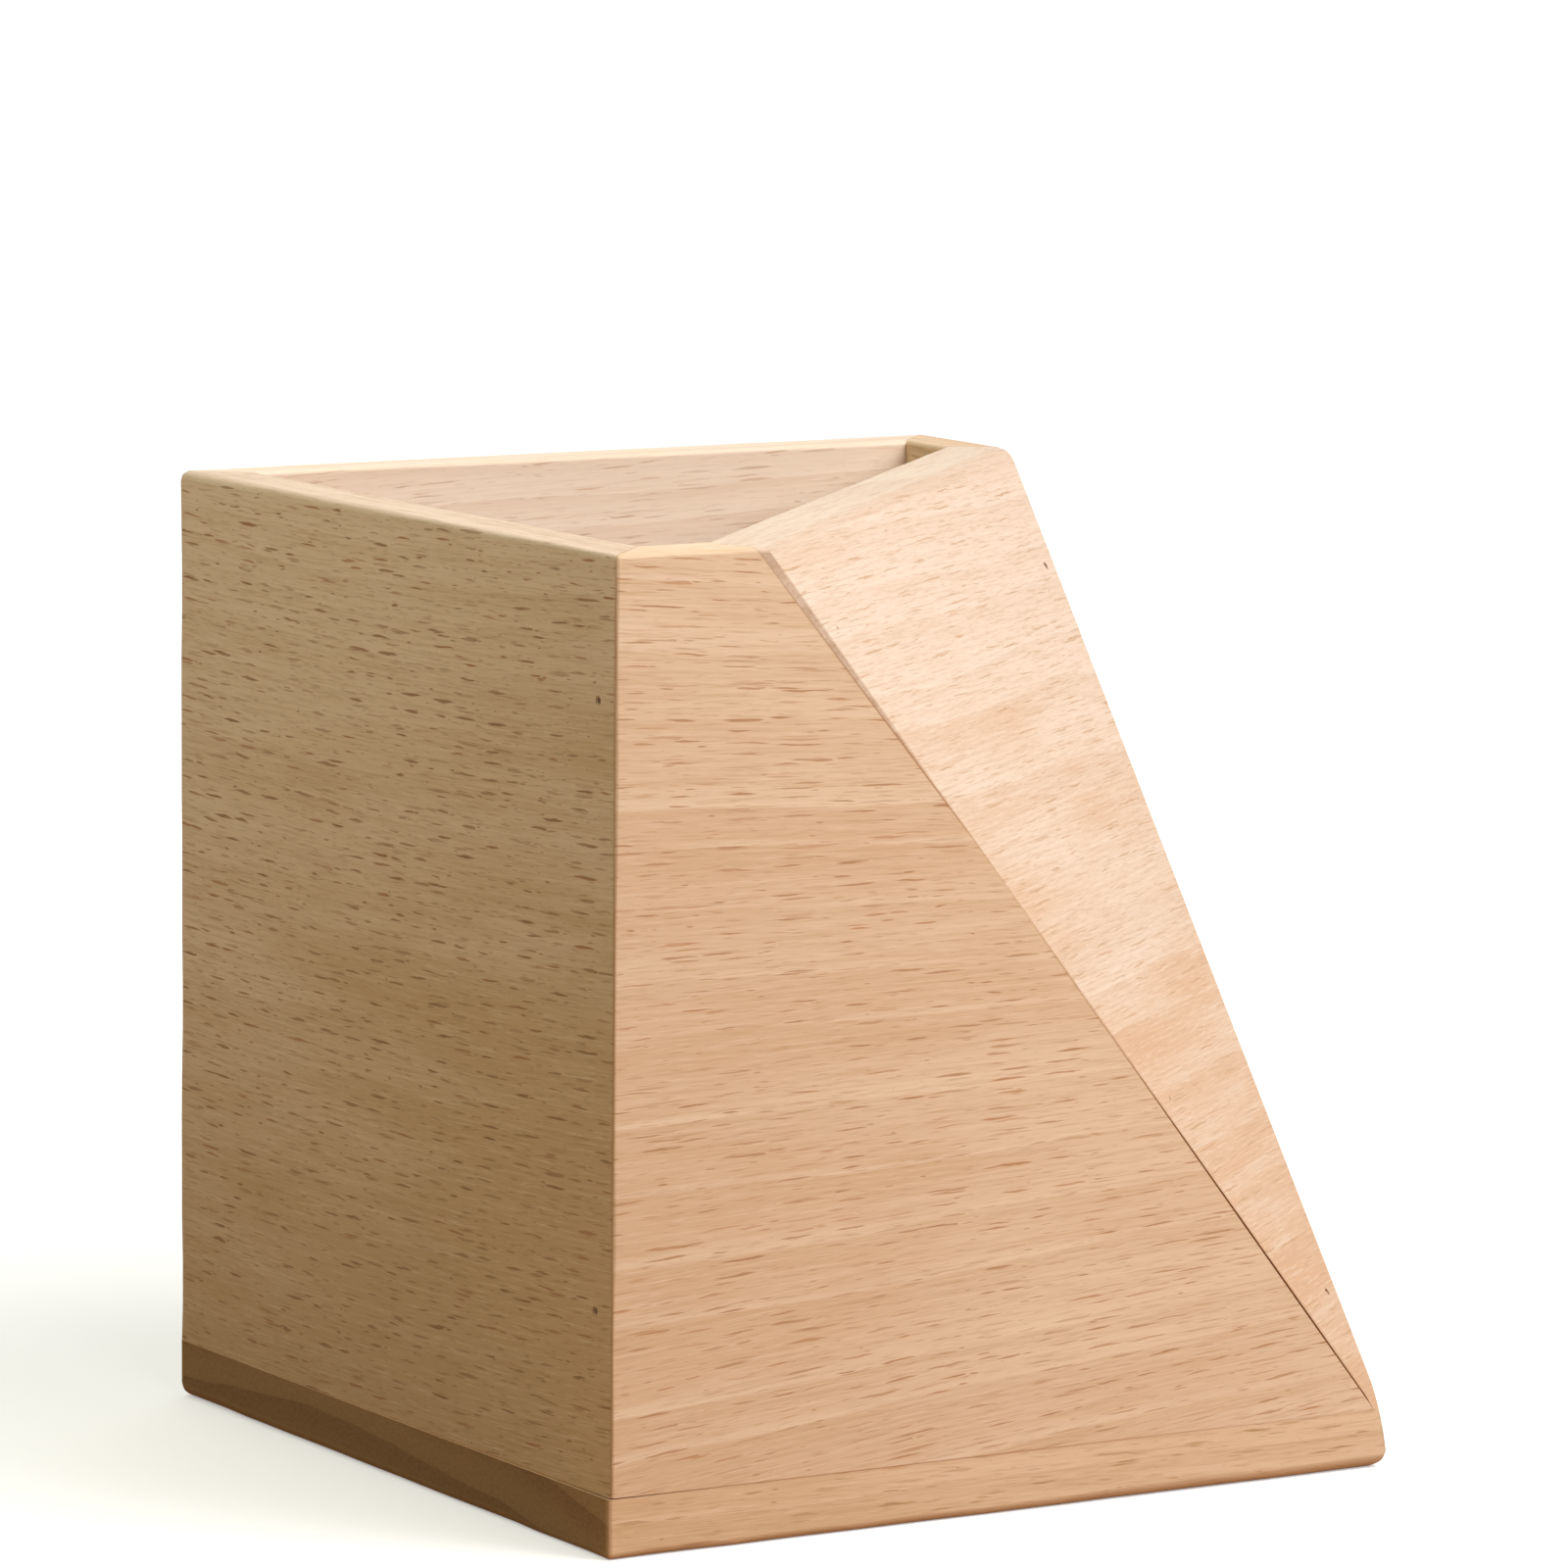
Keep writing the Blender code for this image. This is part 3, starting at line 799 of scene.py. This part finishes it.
right_joints = [
    (back_right_joint, 0.3), (right_slope_joint, 0.5), (base_joint, 0.3), (under_point_joint, 0.3),
]
inside_right_wall = corner(0.97, 0.9, height / 2)
right_piece = board_stock("right_stock", inside_right_wall, [joint for joint, _ in right_joints])
PANEL_MOUTH = 0.4 * MM
into_right = into_panel((slope_tip - slope_right).cross(RIGHTWARD).normalized())
slant_right_bores = [
    bore("pin_slant_right_" + level, into_right, PANEL_MOUTH) for level in ("upper", "lower")
]
cut_with(right_piece, "INTERSECT", cup, tip_block)
cut_with(right_piece, "DIFFERENCE", *back_right_bores, *slant_right_bores, right_foot_bore)
right_beech = beech(
    "beech_right", BACKWARD, right_face[1],
    dict(Plank_Shift=(330, 90, 25), Slope=-0.01, Fan=0.0006, Ring_Width=3.4, Pith_Across=60,
         Pith_Below=80, Fleck_Length=8.0, Fleck_Height=1.4, Fleck_Size=0.4),
    dict(Pale=(0.76, 0.56, 0.38), Warm=(0.69, 0.47, 0.30), Deep=(0.58, 0.37, 0.21),
         Fleck_Brown=(0.44, 0.26, 0.14), Fleck_Red=(0.53, 0.28, 0.15), End_Brown=(0.44, 0.26, 0.14),
         Late_Strength=0.35, Early_Strength=0.35, Fibre_Strength=0.3, Fleck_Strength=0.7, Fine_Strength=0.4,
         End_Strength=0.5, Wear_Strength=0.3),
)
right_wall = finished(right_piece, "right_wall", right_face, BACKWARD, right_joints, cup_flats, right_beech)

# The slant panel
# A triangle of slightly greyer beech that closes the cut corner, its grain lying level across the slope.
# Both long edges are bevelled to meet the walls, and two pins go through each of them.

panel_heart = (slope_front + slope_right + slope_tip) / 3 - slope[1] * PANEL_THICKNESS / 2
# The stain on the sloping joint is glue and also painted shade inside the crack
panel_joints = [
    (right_slope_joint, 0.5), (base_joint, 0.2), (front_slope_joint, 0.7), (planed_joint, 0.3),
]
room_for_front = [moved(face, OVERRUN) for face in (slope, rim, foot)]
for joint in (front_slope_joint, planed_joint):
    room_for_front.append(moved(away_from(inside_front_wall, joint), HAIRLINE / 2))
front_block = helper_from(sawn(room_for_front), "front_block")
panel_piece = board_stock(
    "panel_stock", panel_heart, [right_slope_joint, base_joint, moved(slope_inside, -2 * OVERRUN)]
)
cut_with(panel_piece, "INTERSECT", cup, tip_block)
cut_with(panel_piece, "DIFFERENCE", front_block, slope_crack, *slant_front_bores, *slant_right_bores)
across_slope = slope_right - slope_front
panel_beech = beech(
    "beech_panel", across_slope, slope[1],
    # Drift paints shade: the panel darkens and warms towards its point at the foot
    dict(Drift=(-0.15, -0.59, 0), Drift_From=(50, -50, 0), Plank_Shift=(150, 120, 70), Slope=-0.045,
         Ring_Width=5.2, Pith_Across=-150, Pith_Below=60,
         Fleck_Length=13.0, Fleck_Height=1.25, Fleck_Size=0.42),
    dict(Pale=(0.745, 0.605, 0.485), Warm=(0.62, 0.395, 0.245), Deep=(0.54, 0.34, 0.21),
         Fleck_Brown=(0.50, 0.31, 0.175), Fleck_Red=(0.56, 0.32, 0.185), End_Brown=(0.57, 0.35, 0.22),
         Late_Strength=0.15, Early_Strength=0.4, Fibre_Strength=0.5, Fleck_Strength=0.85, Fine_Strength=0.5,
         End_Strength=0.6, Wear_Strength=0.3),
)
panel_face = (slope_front, slope[1])
slant_panel = finished(
    panel_piece, "slant_panel", panel_face, across_slope, panel_joints, cup_flats, panel_beech
)

for helper in helpers:
    bpy.data.objects.remove(helper, do_unlink=True)

# The pin nails
# Headless steel pins of 0.6 mm, dulled and darkened, punched just under the face of the wood. They keep
# their shape from the frame and get their finish here.

STEEL_DARK = (0.20, 0.12, 0.09)
STEEL_LIGHT = (0.36, 0.25, 0.20)
TARNISH_SCALE = 2500.0  # patches in a metre
pin_steel = bpy.data.materials.new("dull_pin_steel")
pin_steel.use_nodes = True
steel_tree = pin_steel.node_tree
steel = steel_tree.nodes["Principled BSDF"]
steel_place = place(steel_tree, "TexCoord")["Object"]
tarnish = place(steel_tree, "TexNoise", steel_place, Scale=TARNISH_SCALE, Detail=3.0)["Fac"]
steel_colour = place(
    steel_tree, "Mix", ramp(steel_tree, tarnish, 0.35, 0.65), (*STEEL_DARK, 1.0), (*STEEL_LIGHT, 1.0),
    data_type="RGBA",
)["Result"]
steel_tree.links.new(steel_colour, steel.inputs["Base Color"])
steel_tree.links.new(ramp(steel_tree, tarnish, 0.3, 0.7, 0.65, 0.45), steel.inputs["Roughness"])
steel.inputs["Metallic"].default_value = 1.0
for name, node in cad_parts.items():
    if name.startswith("pin_"):
        for slot in node.material_slots:
            slot.material = pin_steel

# The table
# A wide pale sheet under the cup, lit up to plain white away from it. Seen from the wood it is brown, which
# warms the light that comes up from it.

FLOOR_SIZE = 12.0
SHEET_GREY = (0.78, 0.77, 0.76)
SHEET_BROWN = (0.44, 0.26, 0.14)
GLOW_AT_CUP = 0.4
WHITE_FROM = 0.12  # metres from the middle of the cup, where the glow begins to grow
WHITE_BY = 0.5  # and where it is full
UNDER_FOOT = 0.05 * MM  # keeps the sheet clear of the foot's flat face
floor_form = bmesh.new()
bmesh.ops.create_grid(floor_form, x_segments=1, y_segments=1, size=FLOOR_SIZE / 2)
floor_mesh = bpy.data.meshes.new("floor")
floor_form.to_mesh(floor_mesh)
floor_form.free()
floor = bpy.data.objects.new("floor", floor_mesh)
floor.location.z = -UNDER_FOOT
bpy.context.scene.collection.objects.link(floor)
floor_paint = bpy.data.materials.new("pale_sheet")
floor_paint.use_nodes = True
floor_tree = floor_paint.node_tree
sheet = floor_tree.nodes["Principled BSDF"]
sheet.inputs["Roughness"].default_value = 0.9
sheet.inputs["Emission Color"].default_value = (1.0, 1.0, 1.0, 1.0)
far_off = place(
    floor_tree, "VectorMath", place(floor_tree, "TexCoord")["Object"], operation="LENGTH"
)["Value"]
in_view = place(floor_tree, "LightPath")["Is Camera Ray"]
glow = ramp(floor_tree, far_off, WHITE_FROM, WHITE_BY, GLOW_AT_CUP, 1.0)
lit_up = reckon(floor_tree, "MULTIPLY", glow, in_view)
sheet_colour = place(
    floor_tree, "Mix", in_view, (*SHEET_BROWN, 1.0), (*SHEET_GREY, 1.0), data_type="RGBA"
)["Result"]
floor_tree.links.new(sheet_colour, sheet.inputs["Base Color"])
floor_tree.links.new(lit_up, sheet.inputs["Emission Strength"])
floor_mesh.materials.append(floor_paint)

# The light
# Four soft lamps in a dim room. The strongest stands front right, one further to the front and a faint one
# behind. A small one over the left wall is tinted yellow green, which gives that wall its olive tone.


def soft_lamp(name, way, distance, size, watts, colour=(1.0, 1.0, 1.0)):
    """A square soft lamp that faces the cup from this way and distance."""
    data = bpy.data.lights.new(name, "AREA")
    data.shape = "SQUARE"
    data.size = size
    data.energy = watts
    data.color = colour
    lamp = bpy.data.objects.new(name, data)
    lamp.location = heart + way.normalized() * distance
    lamp.rotation_euler = way.to_track_quat("Z", "Y").to_euler()
    bpy.context.scene.collection.objects.link(lamp)


YELLOW_GREEN = (1.0, 1.06, 0.80)
soft_lamp("right_lamp", Vector((0.6, -0.6, 0.8)), 0.6, 0.5, 4.2)
soft_lamp("front_lamp", Vector((0.1, -1.0, 0.9)), 0.6, 0.5, 1.4)
soft_lamp("left_lamp", Vector((-1.0, 0.2, 0.9)), 0.35, 0.25, 0.53, colour=YELLOW_GREEN)
soft_lamp("back_lamp", Vector((0.2, 0.7, 0.9)), 0.5, 0.4, 0.7)

ROOM_LIGHT = 0.03
ROOM_SHEEN = 0.25  # what the sanded faces reflect of the room
world = bpy.data.worlds.new("room")
bpy.context.scene.world = world
world.use_nodes = True
room_tree = world.node_tree
room = room_tree.nodes["Background"]
room.inputs["Color"].default_value = (1.0, 1.0, 1.0, 1.0)
rays = place(room_tree, "LightPath")
sheen = ramp(room_tree, rays["Is Glossy Ray"], 0.0, 1.0, ROOM_LIGHT, ROOM_SHEEN)
seen = reckon(room_tree, "MAXIMUM", sheen, rays["Is Camera Ray"])
room_tree.links.new(seen, room.inputs["Strength"])
bpy.context.scene.view_settings.view_transform = "Standard"

# The camera
# A long lens, from the front left and a little above. Its place and turn were fitted to the straight edges
# of the boards.

YAW = math.radians(-30.903)
PITCH = math.radians(7.701)
ROLL = math.radians(0.462)
DISTANCE = 951.4 * MM
AIM_RIGHT = 0.70 * MM  # from the heart of the cup
AIM_UP = 18.87 * MM
SENSOR = 36.0  # millimetres, like the lens
LENS = 207.7
back_way = Vector((math.sin(YAW) * math.cos(PITCH), -math.cos(YAW) * math.cos(PITCH), math.sin(PITCH)))
level_right = Vector((math.cos(YAW), math.sin(YAW), 0))
level_up = back_way.cross(level_right)
rolled_right = level_right * math.cos(ROLL) + level_up * math.sin(ROLL)
rolled_up = level_up * math.cos(ROLL) - level_right * math.sin(ROLL)
view = Matrix((rolled_right, rolled_up, back_way)).transposed().to_4x4()
view.translation = heart + level_right * AIM_RIGHT + level_up * AIM_UP + back_way * DISTANCE
camera_data = bpy.data.cameras.new("camera")
camera_data.sensor_width = SENSOR
camera_data.lens = LENS
camera = bpy.data.objects.new("camera", camera_data)
bpy.context.scene.collection.objects.link(camera)
camera.matrix_world = view
bpy.context.scene.camera = camera
